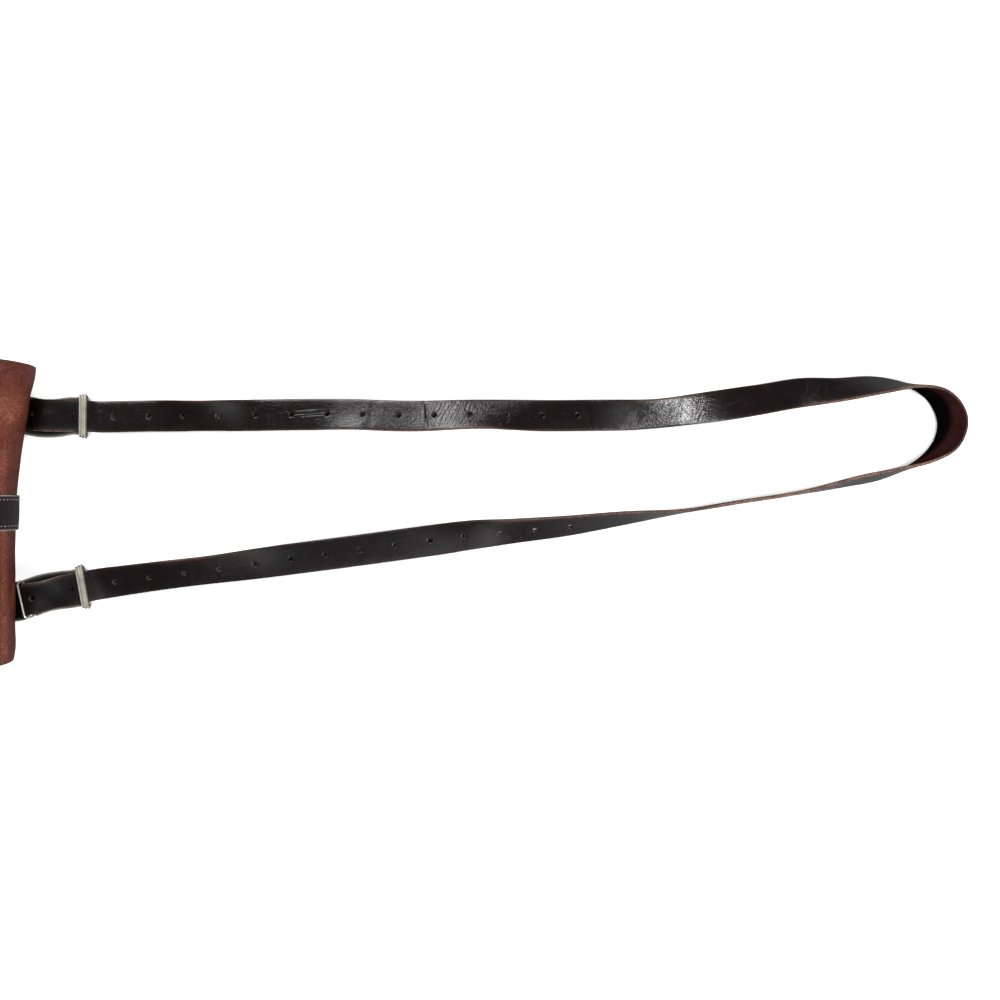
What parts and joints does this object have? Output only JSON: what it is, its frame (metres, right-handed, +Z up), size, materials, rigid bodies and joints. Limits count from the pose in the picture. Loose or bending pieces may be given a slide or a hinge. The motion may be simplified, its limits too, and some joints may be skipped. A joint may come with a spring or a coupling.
{
  "type": "mail bag",
  "caption": "Brown leather mail bag lying on its back, with a rounded top fold, a dark closing band and a long dark shoulder strap punched with holes and held by metal slides.",
  "frame": {"origin": "on the flat of the bag's back, which it lies on, in the middle of its width and about half way up the bag", "axes": "+X from the bag's bottom to its top fold and on along the strap, +Y across the bag, +Z up from the floor through the bag's depth"},
  "size_m": [0.9581, 0.2392, 0.0824],
  "materials": {
    "leather_brown": "mottled red-brown leather, softly waxed",
    "leather_dark": "glossy black-brown leather with raw tan cut edges",
    "nickel": "worn nickel plate",
    "chrome": "polished chrome wire"
  },
  "bodies": {
    "root": {"back_flap": "leather_brown", "front_panel": "leather_brown", "gusset": "leather_brown", "flap_band": "leather_dark", "tongue_loop": "leather_dark", "chape_upper": "leather_dark", "chape_lower": "leather_dark", "keeper_upper": "chrome", "keeper_lower": "chrome", "slide_upper": "nickel", "slide_lower": "nickel", "shoulder_strap": "leather_dark"}
  },
  "joints": []
}
